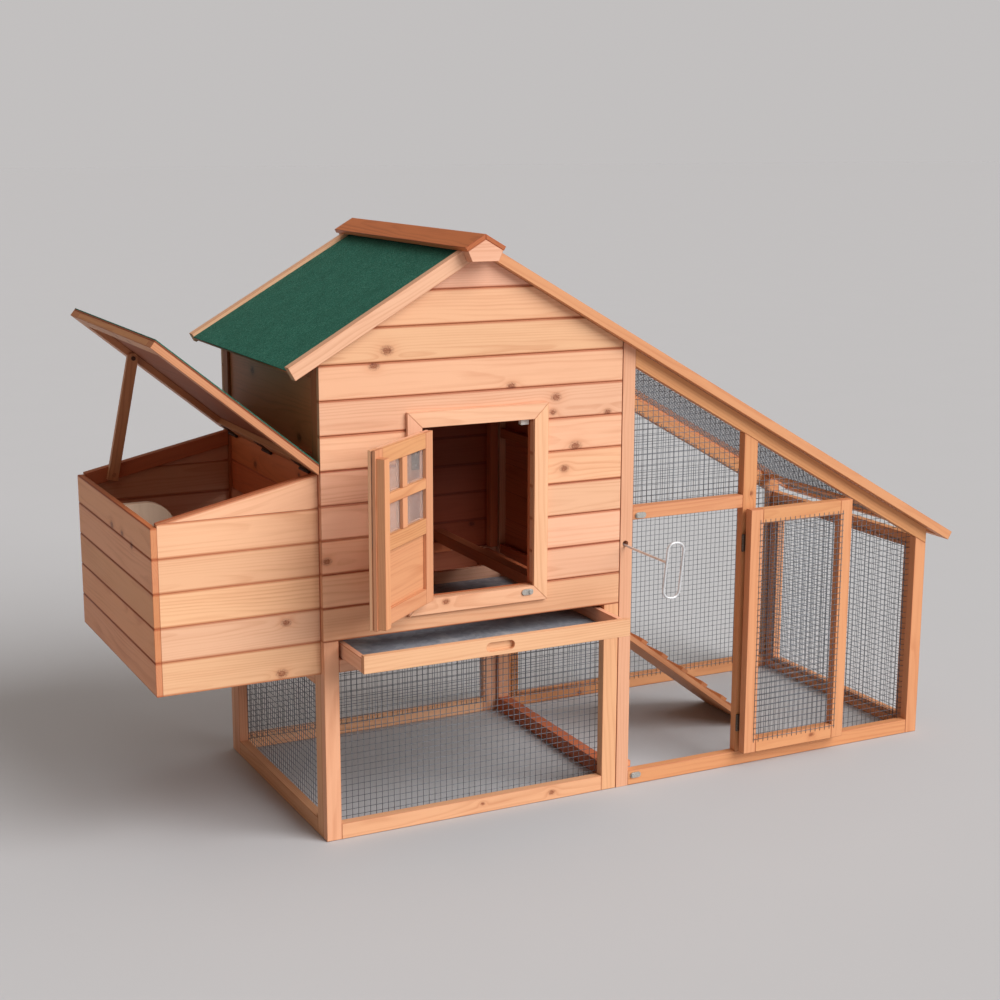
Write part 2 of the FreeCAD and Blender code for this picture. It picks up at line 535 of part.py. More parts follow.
# deep closing strip down the free edge; it stops below the catch
leaf_parts.append(box(DX1 - 23, DX1 - 3, yi1, 24.0, DZ0 + 3, 786.0))
add("front_door_frame", *turned(leaf_parts, DP, ZAX, -DOOR_OPEN))
ov = [box(DX0, DX0 + SW, -8, -2, DZ0, DZ1), box(DX1 - SW, DX1, -8, -2, DZ0, DZ1),
      box(DX0 + SW, DX1 - SW, -8, -2, zrows[0], DZ1), box(DX0 + SW, DX1 - SW, -8, -2, DZ0, zrows[5]),
      box(DX0 + SW, DX1 - SW, -8, -2, zrows[4], zrows[3]),
      box(DX0 + SW, DX1 - SW, -8, -2, zrows[2], zrows[1]),
      box(mx - 10, mx + 10, -8, -2, zrows[1], zrows[0]), box(mx - 10, mx + 10, -8, -2, zrows[3], zrows[2])]
add("front_door_overlay", *turned(ov, DP, ZAX, -DOOR_OPEN))
# one clear sheet behind all four lights, one thin board below it
add("front_door_glazing", *turned([box(DX0 + 2, DX1 - 2, -2, 0, zrows[3] - 15, DZ1 - 2)], DP, ZAX, -DOOR_OPEN))
add("front_door_panel", *turned([box(DX0 + 2, DX1 - 2, -2, 0, DZ0 + 2, zrows[3] - 15)], DP, ZAX, -DOOR_OPEN))
for zc in (525.0, 744.0):
    a, b = zc - 20, zc + 20
    p = (DPX, DPY, 0)
    fk = [knuckle(p, (0, 0, 1), 3.4, 2.05, a, a + 13), knuckle(p, (0, 0, 1), 3.4, 2.05, b - 13, b)]
    plate = box(DPX - 26, DPX - 2.3, -9.2, -8, a, b)
    web = [box(DPX - 4, DPX - 1.0, DPY + 2.4, -8, a, a + 13), box(DPX - 4, DPX - 1.0, DPY + 2.4, -8, b - 13, b)]
    plate = plate.fuse(fk + web)
    mk = knuckle(p, (0, 0, 1), 3.4, 2.05, a + 13.4, b - 13.4)
    mp = box(DPX + 2.3, DPX + 26, -9.2, -8, a, b)
    mw = box(DPX + 1.5, DPX + 4, DPY + 2.4, -8, a + 13.4, b - 13.4)
    moving = mp.fuse([mk, mw])
    ds = []
    for dz in (-11, 11):
        plate = plate.cut(screw_hole(DPX - 17, -8, zc + dz, 0, -1, 0, 1.2))
        add("hinge_and_button_screws", screw(DPX - 17, -8, zc + dz, 0, -1, 0, 1.2))
        moving = moving.cut(screw_hole(DPX + 17, -8, zc + dz, 0, -1, 0, 1.2))
        ds.append(screw(DPX + 17, -8, zc + dz, 0, -1, 0, 1.2))
    add("door_hinges_fixed", plate, cyl(DPX, DPY, a - 1, 0, 0, 1, 2.0, b - a + 2))
    add("front_door_hinges_moving", *turned([moving] + ds, DP, ZAX, -DOOR_OPEN))
add("front_door_catch", box(425, 443, 11, 21.5, 790, 800).fuse(box(425, 443, 11, 13.5, 800, 803)))

# ------------------------------------------------------------------ pull-out tray
ty = -TRAY_OUT
TX0, TX1, TZ0, TZ1 = 37.0, 611.0, 367.5, 402.5
TL = 545.0
front = box(TX0, TX1, ty, ty + 12, TZ0, TZ1)
sc = 321.0
slot = box(sc - 21, sc + 21, ty - 1, ty + 8.5, 376, 394).fuse([
    cyl(sc - 21, ty - 1, 385, 0, 1, 0, 9, 9.5), cyl(sc + 21, ty - 1, 385, 0, 1, 0, 9, 9.5)])
add("tray_frame", front.cut(slot),
    box(TX0, TX0 + 12, ty + 12, ty + TL - 12, TZ0, 396), box(TX1 - 12, TX1, ty + 12, ty + TL - 12, TZ0, 396),
    box(TX0, TX1, ty + TL - 12, ty + TL, TZ0, 396))
add("tray_sheet", box(TX0 + 12, TX1 - 12, ty + 12, ty + TL - 12, 367.5, 368.5))

# ------------------------------------------------------------------ sliding pop door and its pull rod
PD0, PD1 = 54.0, 230.0
add("pop_door", box(659.0, 665.6, PD0, PD1, 400.2, 671.4))
rod = cyl(ROD_X, -ROD_OUT, ROD_Z, 0, 1, 0, 2.5, ROD_OUT + PD0 - 3)
LXC, LZC = ROD_X - 5 + 21, 506.0
LW, LH, LR = 42.0, 117.0, 2.6
hw, hh, cr = LW / 2 - LR, LH / 2 - LR, 16.0
cx = ROD_X + 16.8
P = lambda x, z: V(x, -ROD_OUT - 0.0, z)
k = cr * (1 - math.sqrt(0.5))
path = Part.Wire([
    Part.LineSegment(P(cx - hw, LZC - hh + cr), P(cx - hw, LZC + hh - cr)).toShape(),
    Part.Arc(P(cx - hw, LZC + hh - cr), P(cx - hw + k, LZC + hh - k), P(cx - hw + cr, LZC + hh)).toShape(),
    Part.LineSegment(P(cx - hw + cr, LZC + hh), P(cx + hw - cr, LZC + hh)).toShape(),
    Part.Arc(P(cx + hw - cr, LZC + hh), P(cx + hw - k, LZC + hh - k), P(cx + hw, LZC + hh - cr)).toShape(),
    Part.LineSegment(P(cx + hw, LZC + hh - cr), P(cx + hw, LZC - hh + cr)).toShape(),
    Part.Arc(P(cx + hw, LZC - hh + cr), P(cx + hw - k, LZC - hh + k), P(cx + hw - cr, LZC - hh)).toShape(),
    Part.LineSegment(P(cx + hw - cr, LZC - hh), P(cx - hw + cr, LZC - hh)).toShape(),
    Part.Arc(P(cx - hw + cr, LZC - hh), P(cx - hw + k, LZC - hh + k), P(cx - hw, LZC - hh + cr)).toShape()])
prof = Part.Wire([Part.Circle(P(cx - hw, LZC), V(0, 0, 1), LR).toShape()])
# the loop is swept in two halves from its left side's middle and joined to the rod
sec = Part.Wire([Part.Circle(P(cx - hw, LZC - hh + cr), V(0, 0, 1), LR).toShape()])
loop = path.makePipeShell([sec], True, False)
loop.rotate(V(cx, -ROD_OUT, LZC), V(0, 1, 0), 6.0)
add("pull_handle", rod.fuse(loop),
    box(658.9, 665.7, PD0 - 3.0, PD0, ROD_Z - 12, ROD_Z + 12))

# ------------------------------------------------------------------ ramp
RPX, RPZ = 685.0, 352.0
foot_x, run_len = 1140.0, 568.0
ang = math.atan2(RPZ - 6 - RAMP_T * 0.5, foot_x - RPX - 6)
rd = (math.cos(ang), -math.sin(ang))
rn = (math.sin(ang), math.cos(ang))
# foot edge touches the ground: lower corner of the far end at z = 0
rs = RPZ - 5.0


def ramp_pt(a, b):
    return (RPX + 1.0 + rd[0] * a + rn[0] * b, RPZ + rd[1] * a + rn[1] * b)


# far end is cut level with the ground
far = (RPZ - 2.0 * rn[1] - RAMP_T * rn[1]) / math.sin(ang)
top_b, low_b = -2.0, -2.0 - RAMP_T
z0a = ramp_pt(0, low_b)[1] / math.sin(ang)
z0b = ramp_pt(0, top_b)[1] / math.sin(ang)
ramp = xz([ramp_pt(4, low_b), ramp_pt(z0a, low_b), ramp_pt(z0b, top_b), ramp_pt(4, top_b)], RAMP_Y0, RAMP_Y1)
add("ramp", ramp)
a = 45.0
while a < z0b - 30:
    add("ramp", xz([ramp_pt(a, top_b), ramp_pt(a + 18, top_b), ramp_pt(a + 18, top_b + 9), ramp_pt(a, top_b + 9)],
                   RAMP_Y0 + 5, RAMP_Y1 - 5))
    a += 68.0
for yc in (235.0, 355.0):
    p = (RPX, 0, RPZ)
    fk1 = knuckle(p, (0, 1, 0), 3.4, 2.05, yc - 18, yc - 6.4)
    fk2 = knuckle(p, (0, 1, 0), 3.4, 2.05, yc + 6.4, yc + 18)
    pl1 = box(RX0, RX0 + 1.4, yc - 18, yc + 18, 340, 366)
    w1 = [box(RX0 + 1.0, RPX - 2.4, yc - 18, yc - 6.4, RPZ - 0.8, RPZ + 0.8),
          box(RX0 + 1.0, RPX - 2.4, yc + 6.4, yc + 18, RPZ - 0.8, RPZ + 0.8)]
    pl1 = pl1.fuse([fk1, fk2] + w1)
    for dy in (-12.5, 12.5):
        pl1 = pl1.cut(screw_hole(RX0, yc + dy, 361.0, 1, 0, 0, 1.4))
        add("hinge_and_button_screws", screw(RX0, yc + dy, 361.0, 1, 0, 0, 1.4, 2.5))
    add("ramp_hinges_fixed", pl1, cyl(RPX, yc - 19, RPZ, 0, 1, 0, 2.0, 38))
    mk = knuckle(p, (0, 1, 0), 3.4, 2.05, yc - 6.0, yc + 6.0)
    strap = xz([ramp_pt(1.6, top_b), ramp_pt(30, top_b), ramp_pt(30, top_b + 1.4), ramp_pt(1.6, top_b + 1.4)], yc - 6.0, yc + 6.0)
    strap = mk.fuse(strap).cut(cyl(RPX, yc - 6, RPZ, 0, 1, 0, 2.05, 12))
    q = ramp_pt(22, top_b)
    strap = strap.cut(screw_hole(q[0], yc, q[1], rn[0], 0, rn[1], 1.4))
    add("ramp_hinges_moving", strap, screw(q[0], yc, q[1], rn[0], 0, rn[1], 1.4, 2.5))

# ------------------------------------------------------------------ run door, standing open against the run
RDX0, RDX1, RDZ0, RDZ1 = 954.2, 1219.2, 32.8, 574.8
ry0, ry1 = -26.0, -6.0
add("run_door_frame",
    box(RDX0, RDX0 + 31, ry0, ry1, RDZ0, RDZ1), box(RDX1 - 31, RDX1, ry0, ry1, RDZ0, RDZ1),
    box(RDX0 + 31, RDX1 - 31, ry0, ry1, RDZ0, RDZ0 + 32), box(RDX0 + 31, RDX1 - 31, ry0, ry1, RDZ1 - 32, RDZ1))
add("run_door_mesh", *mesh_front(RDX0 + 23, RDX1 - 23, RDZ0 + 23, RDZ1 - 23, ry0 - WIRE, ry0 - 2 * WIRE))
for zc in (98.0, 500.0):
    a, b = zc - 18, zc + 18
    p = (RUN_PIN[0], RUN_PIN[1], 0)
    fa = [knuckle(p, (0, 0, 1), 3.0, 1.85, a, a + 11.6), knuckle(p, (0, 0, 1), 3.0, 1.85, b - 11.6, b)]
    fp = box(RUN_PIN[0] + 1.2, RUN_PIN[0] + 27, -1.3, 0, a, b)
    cutp = cyl(p[0], p[1], a - 1, 0, 0, 1, 3.3, b - a + 2).common(box(0, 2000, -50, 50, a + 11.6, b - 11.6))
    bore = cyl(p[0], p[1], a - 1, 0, 0, 1, 1.85, b - a + 2)
    fp = fp.fuse(fa).cut(bore).cut(cutp)
    for dz in (-12.5, 12.5):
        fp = fp.cut(cyl(RUN_PIN[0] + 18, 1, zc + dz, 0, -1, 0, 1.52, 4))
        add("hinge_and_button_screws", cyl(RUN_PIN[0] + 18, 0, zc + dz, 0, -1, 0, 1.5, 1.3))
    add("door_hinges_fixed", fp, cyl(p[0], p[1], a - 1, 0, 0, 1, 1.8, b - a + 2))
    mk = knuckle(p, (0, 0, 1), 3.0, 1.85, a + 12.0, b - 12.0)
    mp = box(RUN_PIN[0] + 1.2, RUN_PIN[0] + 27, -6.0, -4.7, a, b)
    cutm = [cyl(p[0], p[1], a - 1, 0, 0, 1, 3.3, 13.0), cyl(p[0], p[1], b - 12.0, 0, 0, 1, 3.3, 13.0)]
    mv = mp.fuse(mk).cut(bore)
    for c in cutm:
        mv = mv.cut(c)
    rs2 = []
    for dz in (-12.5, 12.5):
        mv = mv.cut(cyl(RUN_PIN[0] + 18, -3.5, zc + dz, 0, -1, 0, 1.52, 4))
        rs2.append(cyl(RUN_PIN[0] + 18, -4.7, zc + dz, 0, -1, 0, 1.5, 1.3))
    add("run_door_hinges_moving", mv, *rs2)

# ------------------------------------------------------------------ turn buttons
def button(name, x, y_face, z, side, reach, width):
    """Flat metal turn button lying level, its screw near one end; side is where its tip points."""
    t = 2.0
    y1 = y_face - 0.6
    tip = x + side * (reach - width)
    b = box(min(x, tip), max(x, tip), y1 - t, y1, z - width, z + width)
    b = b.fuse([cyl(x, y1 - t, z, 0, 1, 0, width, t), cyl(tip, y1 - t, z, 0, 1, 0, width, t)]).removeSplitter()
    b = b.cut(cyl(x, y1 - t - 1, z, 0, 1, 0, 2.1, t + 2))
    add(name, b)
    add("hinge_and_button_screws", cyl(x, y1 - t - 2.0, z, 0, 1, 0, 4.0, 1.6).fuse(cyl(x, y1 - t - 0.4, z, 0, 1, 0, 2.04, t + 1.0)))


button("front_door_button", 438.0, -TRIM_T, 455.0, -1, 19.0, 6.0)
button("run_door_top_button", 690.0, 0.0, 585.0, 1, 19.0, 6.0)
button("run_door_bottom_button", 690.0, 0.0, 21.0, 1, 19.0, 6.0)

# ------------------------------------------------------------------ write
os.makedirs("parts", exist_ok=True)
MOVE = V(-ORIGIN_X, -ORIGIN_Y, 0)
total = None
for name, shapes in NODES.items():
    solids = []
    for s in shapes:
        if not s.isValid():
            print("INVALID", name)
        for so in s.Solids:
            c = so.copy()
            c.translate(MOVE)
            solids.append(c)
    comp = solids[0] if len(solids) == 1 else Part.makeCompound(solids)
    comp.exportStep("parts/" + name + ".step")
    bb = comp.BoundBox
    total = bb if total is None else total.united(bb)
    print("%-28s %3d solids  x %8.1f %8.1f  y %8.1f %8.1f  z %7.1f %7.1f" % (
        name, len(solids), bb.XMin, bb.XMax, bb.YMin, bb.YMax, bb.ZMin, bb.ZMax))
print("nodes", len(NODES))
print("box", total)
print("prop pivot", PP, "length", pl, "prop dir", du)
print("ramp angle", math.degrees(ang), "foot", ramp_pt(z0a, low_b))
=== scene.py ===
import bpy
import bmesh
import json
import math
import random

import numpy as np
from mathutils import Matrix, Vector


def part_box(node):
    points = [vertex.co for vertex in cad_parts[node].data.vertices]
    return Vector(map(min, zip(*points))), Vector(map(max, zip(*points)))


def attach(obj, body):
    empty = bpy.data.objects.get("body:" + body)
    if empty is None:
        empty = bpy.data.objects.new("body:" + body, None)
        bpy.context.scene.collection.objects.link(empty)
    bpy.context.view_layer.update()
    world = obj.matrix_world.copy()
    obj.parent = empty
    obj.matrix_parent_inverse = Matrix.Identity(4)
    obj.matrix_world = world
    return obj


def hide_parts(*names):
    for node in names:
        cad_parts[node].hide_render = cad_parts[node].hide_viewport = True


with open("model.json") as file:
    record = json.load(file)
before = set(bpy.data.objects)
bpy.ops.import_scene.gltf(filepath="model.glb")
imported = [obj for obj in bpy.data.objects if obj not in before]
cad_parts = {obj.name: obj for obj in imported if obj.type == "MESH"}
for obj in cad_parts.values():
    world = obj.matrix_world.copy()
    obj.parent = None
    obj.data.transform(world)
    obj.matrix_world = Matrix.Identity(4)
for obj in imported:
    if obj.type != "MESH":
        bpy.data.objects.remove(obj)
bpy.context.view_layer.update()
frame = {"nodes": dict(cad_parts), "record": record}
NODES = frame["nodes"]
BODY = {}
for body, members in frame["record"]["behaviour"]["bodies"].items():
    for member in members:
        BODY[member] = body

# the house's front left foot corner, from the front siding's own box
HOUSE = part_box("house_front_siding")[0]
X0, Y0 = HOUSE.x, HOUSE.y


def at(x, y, z):
    """Millimetres from the house's front left foot to a point in the frame, in metres."""
    return Vector((X0 + x / 1000.0, Y0 + y / 1000.0, z / 1000.0))


def rng(name, i=0):
    return random.Random("%s/%d" % (name, i))


# ---------------------------------------------------------------- reading the frame's solids
def solids(name):
    """The separate closed solids of a CAD node, each a list of polygons of points."""
    me = NODES[name].data
    co = [tuple(round(c, 7) for c in v.co) for v in me.vertices]
    out, current, open_edges = [], [], {}
    for p in me.polygons:
        vs = [co[i] for i in p.vertices]
        current.append(vs)
        for i in range(len(vs)):
            a, b = vs[i], vs[(i + 1) % len(vs)]
            if (b, a) in open_edges:
                open_edges[(b, a)] -= 1
                if not open_edges[(b, a)]:
                    del open_edges[(b, a)]
            else:
                open_edges[(a, b)] = open_edges.get((a, b), 0) + 1
        if not open_edges:
            out.append(current)
            current = []
    return out


def solid_bmesh(polys):
    bm = bmesh.new()
    index = {}
    for vs in polys:
        face = []
        for v in vs:
            if v not in index:
                index[v] = bm.verts.new(v)
            face.append(index[v])
        if len(set(face)) == len(face):
            try:
                bm.faces.new(face)
            except ValueError:
                pass
    bm.normal_update()
    return bm


def own_axes(bm):
    """Length, width and thickness directions of a board, with its middle and half sizes."""
    found = []
    for f in bm.faces:
        n, a = f.normal, f.calc_area()
        for k in found:
            if abs(k[0].dot(n)) > 0.999:
                k[1] += a
                break
        else:
            found.append([n.copy(), a])
    found.sort(key=lambda k: -k[1])
    n1 = found[0][0].normalized()
    n2 = None
    for k in found[1:]:
        if abs(k[0].dot(n1)) < 0.02:
            n2 = k[0].normalized()
            break
    if n2 is None:
        n2 = n1.orthogonal().normalized()
    n3 = n1.cross(n2).normalized()
    pts = [v.co for v in bm.verts]
    sized = []
    for d in (n1, n2, n3):
        s = [p.dot(d) for p in pts]
        sized.append((max(s) - min(s), d, (max(s) + min(s)) / 2))
    sized.sort(key=lambda k: -k[0])
    return sized


# ---------------------------------------------------------------- shader helpers
class Tree:
    def __init__(self, name):
        self.mat = bpy.data.materials.new(name)
        self.mat.use_nodes = True
        self.nt = self.mat.node_tree
        self.nt.nodes.clear()
        self.out = self.nt.nodes.new("ShaderNodeOutputMaterial")
        self.bsdf = self.nt.nodes.new("ShaderNodeBsdfPrincipled")
        self.nt.links.new(self.bsdf.outputs[0], self.out.inputs[0])

    def link(self, a, b):
        self.nt.links.new(a, b)

    def val(self, socket, v):
        if hasattr(v, "is_output") or isinstance(v, bpy.types.NodeSocket):
            self.nt.links.new(v, socket)
        else:
            socket.default_value = v

    def math(self, op, a, b=None, c=None, clamp=False):
        n = self.nt.nodes.new("ShaderNodeMath")
        n.operation = op
        n.use_clamp = clamp
        self.val(n.inputs[0], a)
        if b is not None:
            self.val(n.inputs[1], b)
        if c is not None:
            self.val(n.inputs[2], c)
        return n.outputs[0]

    def attr(self, name):
        n = self.nt.nodes.new("ShaderNodeAttribute")
        n.attribute_name = name
        return n

    def sep(self, v):
        n = self.nt.nodes.new("ShaderNodeSeparateXYZ")
        self.val(n.inputs[0], v)
        return n.outputs

    def comb(self, x, y, z):
        n = self.nt.nodes.new("ShaderNodeCombineXYZ")
        for i, v in enumerate((x, y, z)):
            self.val(n.inputs[i], v)
        return n.outputs[0]

    def vmath(self, op, a, b):
        n = self.nt.nodes.new("ShaderNodeVectorMath")
        n.operation = op
        self.val(n.inputs[0], a)
        self.val(n.inputs[1], b)
        return n.outputs[0]

    def noise(self, vec, scale, detail=2.0, rough=0.5, distortion=0.0):
        n = self.nt.nodes.new("ShaderNodeTexNoise")
        self.val(n.inputs["Vector"], vec)
        n.inputs["Scale"].default_value = scale
        n.inputs["Detail"].default_value = detail
        n.inputs["Roughness"].default_value = rough
        n.inputs["Distortion"].default_value = distortion
        return n.outputs["Fac"]

    def remap(self, v, a, b, c=0.0, d=1.0, smooth=False):
        n = self.nt.nodes.new("ShaderNodeMapRange")
        if smooth:
            n.interpolation_type = "SMOOTHSTEP"
        self.val(n.inputs["Value"], v)
        n.inputs["From Min"].default_value = a
        n.inputs["From Max"].default_value = b
        n.inputs["To Min"].default_value = c
        n.inputs["To Max"].default_value = d
        return n.outputs["Result"]

    def ramp(self, v, stops):
        n = self.nt.nodes.new("ShaderNodeValToRGB")
        self.val(n.inputs[0], v)
        el = n.color_ramp.elements
        el[0].position, el[0].color = stops[0][0], stops[0][1]
        el[1].position, el[1].color = stops[-1][0], stops[-1][1]
        for pos, col in stops[1:-1]:
            e = el.new(pos)
            e.color = col
        return n.outputs[0]

    def mix(self, fac, a, b, blend="MIX"):
        n = self.nt.nodes.new("ShaderNodeMix")
        n.data_type = "RGBA"
        n.blend_type = blend
        self.val(n.inputs[0], fac)
        self.val(n.inputs[6], a)
        self.val(n.inputs[7], b)
        return n.outputs[2]

    def bump(self, height, strength, distance, normal=None):
        n = self.nt.nodes.new("ShaderNodeBump")
        self.val(n.inputs["Height"], height)
        n.inputs["Strength"].default_value = strength
        n.inputs["Distance"].default_value = distance
        if normal is not None:
            self.link(normal, n.inputs["Normal"])
        return n.outputs[0]


def srgb(r, g, b):
    def f(c):
        c = c / 255.0
        return c / 12.92 if c <= 0.04045 else ((c + 0.055) / 1.055) ** 2.4
    return (f(r), f(g), f(b), 1.0)


# ---------------------------------------------------------------- fir
def fir(name, light, dark, knot=(96, 48, 26), ring=0.5, streak=0.35, vary=0.14, rough=0.5, redden=(216, 128, 82)):
    """Planed and oiled fir. The grain follows each board's own length, and every board differs."""
    t = Tree(name)
    g = t.attr("grain").outputs["Vector"]
    rnd = t.attr("board").outputs["Vector"]
    l, w, h = t.sep(g)
    r1, r2, r3 = t.sep(rnd)
    shift = t.vmath("SCALE", rnd, (0, 0, 0))
    sc = shift.node
    sc.inputs["Scale"].default_value = 37.0

    # slow wander of the grain
    low = t.vmath("ADD", t.comb(t.math("MULTIPLY", l, 2.2), t.math("MULTIPLY", w, 14.0), t.math("MULTIPLY", h, 14.0)), shift)
    wander = t.math("SUBTRACT", t.noise(low, 1.0, 2.0, 0.5), 0.5)
    low2 = t.vmath("ADD", t.comb(t.math("MULTIPLY", l, 7.0), t.math("MULTIPLY", w, 30.0), t.math("MULTIPLY", h, 30.0)), shift)
    wander2 = t.math("SUBTRACT", t.noise(low2, 1.0, 2.0, 0.55), 0.5)

    # knots, up to three on a board
    near = None
    core = None
    rim = None
    for k in ("knot_a", "knot_b", "knot_c"):
        kl, kw, kr = t.sep(t.attr(k).outputs["Vector"])
        dl = t.math("MULTIPLY", t.math("SUBTRACT", l, kl), 0.72)
        dw = t.math("ADD", t.math("SUBTRACT", w, kw), t.math("MULTIPLY", wander2, 0.006))
        d = t.math("SQRT", t.math("ADD", t.math("MULTIPLY", dl, dl), t.math("MULTIPLY", dw, dw)))
        q = t.math("DIVIDE", d, t.math("MAXIMUM", kr, 0.0001))
        on = t.math("GREATER_THAN", kr, 0.0005)
        halo = t.math("MULTIPLY", on, t.math("POWER", 2.718, t.math("MULTIPLY", t.math("MULTIPLY", q, q), -0.16)))
        c = t.math("MULTIPLY", on, t.remap(q, 1.05, 0.7, smooth=True))
        e = t.math("MULTIPLY", on, t.math("MULTIPLY", t.remap(q, 0.55, 0.95, smooth=True), t.remap(q, 1.9, 1.0, smooth=True)))
        near = halo if near is None else t.math("MAXIMUM", near, halo)
        core = c if core is None else t.math("MAXIMUM", core, c)
        rim = e if rim is None else t.math("MAXIMUM", rim, e)

    crack = t.noise(t.vmath("ADD", t.comb(t.math("MULTIPLY", l, 330.0), t.math("MULTIPLY", w, 520.0), t.math("MULTIPLY", h, 300.0)), shift), 1.0, 3.0, 0.7)
    # growth rings round a pith outside the board, bent round the knots
    pw = t.math("SUBTRACT", w, t.math("MULTIPLY", t.math("SUBTRACT", r1, 0.5), 0.07))
    ph = t.math("ADD", t.math("ADD", h, t.math("ADD", 0.018, t.math("MULTIPLY", r2, 0.05))),
                t.math("MULTIPLY", l, t.math("MULTIPLY", t.math("SUBTRACT", r3, 0.5), 0.05)))
    dist = t.math("SQRT", t.math("ADD", t.math("MULTIPLY", pw, pw), t.math("MULTIPLY", ph, ph)))
    dist = t.math("ADD", dist, t.math("MULTIPLY", wander, 0.016))
    dist = t.math("ADD", dist, t.math("MULTIPLY", wander2, 0.0035))
    dist = t.math("ADD", dist, t.math("MULTIPLY", near, 0.0055))
    phase = t.math("FRACT", t.math("MULTIPLY", dist, 230.0))
    late = t.ramp(phase, [(0.0, (0.15, 0.15, 0.15, 1)), (0.45, (0.0, 0.0, 0.0, 1)), (0.84, (1, 1, 1, 1)), (0.93, (0.9, 0.9, 0.9, 1)), (1.0, (0.15, 0.15, 0.15, 1))])

    late = t.math("MULTIPLY", late, t.remap(t.noise(t.vmath("ADD", t.comb(t.math("MULTIPLY", l, 1.4), t.math("MULTIPLY", w, 26.0), t.math("MULTIPLY", h, 26.0)), shift), 1.0, 2.0, 0.5), 0.3, 0.7, 0.25, 1.0))
    # fibres
    fine = t.vmath("ADD", t.comb(t.math("MULTIPLY", l, 9.0), t.math("MULTIPLY", w, 620.0), t.math("MULTIPLY", h, 620.0)), shift)
    fibre = t.noise(fine, 1.0, 3.0, 0.6)
    mid = t.vmath("ADD", t.comb(t.math("MULTIPLY", l, 4.0), t.math("MULTIPLY", w, 130.0), t.math("MULTIPLY", h, 130.0)), shift)
    band = t.noise(mid, 1.0, 2.0, 0.5)
    blot = t.noise(t.vmath("ADD", t.comb(t.math("MULTIPLY", l, 5.0), t.math("MULTIPLY", w, 16.0), t.math("MULTIPLY", h, 16.0)), shift), 1.0, 3.0, 0.6)

    f = t.math("MULTIPLY", late, ring)
    f = t.math("ADD", f, t.math("MULTIPLY", t.math("SUBTRACT", fibre, 0.5), streak))
    f = t.math("ADD", f, t.math("MULTIPLY", t.math("SUBTRACT", band, 0.5), streak * 1.5))
    f = t.math("ADD", f, t.math("MULTIPLY", t.math("SUBTRACT", blot, 0.5), 0.42), clamp=True)
    col = t.mix(f, srgb(*light), srgb(*dark))
    # each board's own tone
    tone = t.math("ADD", 1.0 - vary / 2, t.math("MULTIPLY", r2, vary))
    col = t.mix(1.0, col, t.comb(tone, t.math("ADD", tone, t.math("MULTIPLY", t.math("SUBTRACT", r3, 0.5), 0.07)),
                                 t.math("ADD", tone, t.math("MULTIPLY", t.math("SUBTRACT", r1, 0.5), 0.16))), "MULTIPLY")
    # resin-reddened wood near knots, then the knot
    col = t.mix(t.math("MULTIPLY", near, 0.34), col, srgb(*redden))
    kcol = t.mix(t.noise(t.vmath("ADD", t.comb(t.math("MULTIPLY", l, 260.0), t.math("MULTIPLY", w, 340.0), h), shift), 1.0, 2.0, 0.6),
                 srgb(*knot), srgb(knot[0] * 1.55, knot[1] * 1.5, knot[2] * 1.4))
    col = t.mix(t.math("MULTIPLY", core, t.remap(crack, 0.35, 0.6, 0.42, 0.92)), col, kcol)
    col = t.mix(t.math("MULTIPLY", rim, t.remap(crack, 0.42, 0.6, 0.12, 0.6)), col, srgb(knot[0] * 1.1, knot[1] * 1.05, knot[2]))
    # worn, slightly darker arrises, and painted shade deep in the V joints between boards, stored on the mesh
    arris_wear_and_groove_shade = t.attr("arris_wear_and_groove_shade").outputs["Fac"]
    col = t.mix(t.math("MULTIPLY", arris_wear_and_groove_shade, 0.45, clamp=True), col, t.mix(1.0, col, srgb(190, 132, 98), "MULTIPLY"))
    # the soft shadow along the joints between siding boards
    half = t.attr("joint").outputs["Fac"]
    gap = t.math("SUBTRACT", half, t.math("ABSOLUTE", w))
    seam = t.math("MULTIPLY", t.math("GREATER_THAN", half, 0.001), t.remap(gap, 0.0052, 0.0014, smooth=True))
    col = t.mix(t.math("MULTIPLY", seam, 0.8), col, t.mix(1.0, col, srgb(206, 160, 132), "MULTIPLY"))
    # painted shade: faces turned to the inside are darkened
    inside_shade = t.attr("inside_shade").outputs["Fac"]
    col = t.mix(inside_shade, col, t.mix(1.0, col, srgb(172, 106, 80), "MULTIPLY"))
    # end grain drinks more oil
    end = t.attr("endgrain").outputs["Fac"]
    col = t.mix(t.math("MULTIPLY", end, 0.38), col, srgb(dark[0] * 0.86, dark[1] * 0.80, dark[2] * 0.76))
    t.link(col, t.bsdf.inputs["Base Color"])
    rgh = t.math("ADD", rough - 0.06, t.math("MULTIPLY", fibre, 0.14))
    t.link(t.math("ADD", rgh, t.math("MULTIPLY", end, 0.18), clamp=True), t.bsdf.inputs["Roughness"])
    t.bsdf.inputs["Specular IOR Level"].default_value = 0.38
    height = t.math("ADD", t.math("MULTIPLY", fibre, 0.6), t.math("MULTIPLY", late, -0.35))
    height = t.math("SUBTRACT", height, t.math("MULTIPLY", rim, 0.5))
    t.link(t.bump(height, 0.5, 0.00035), t.bsdf.inputs["Normal"])
    return t.mat


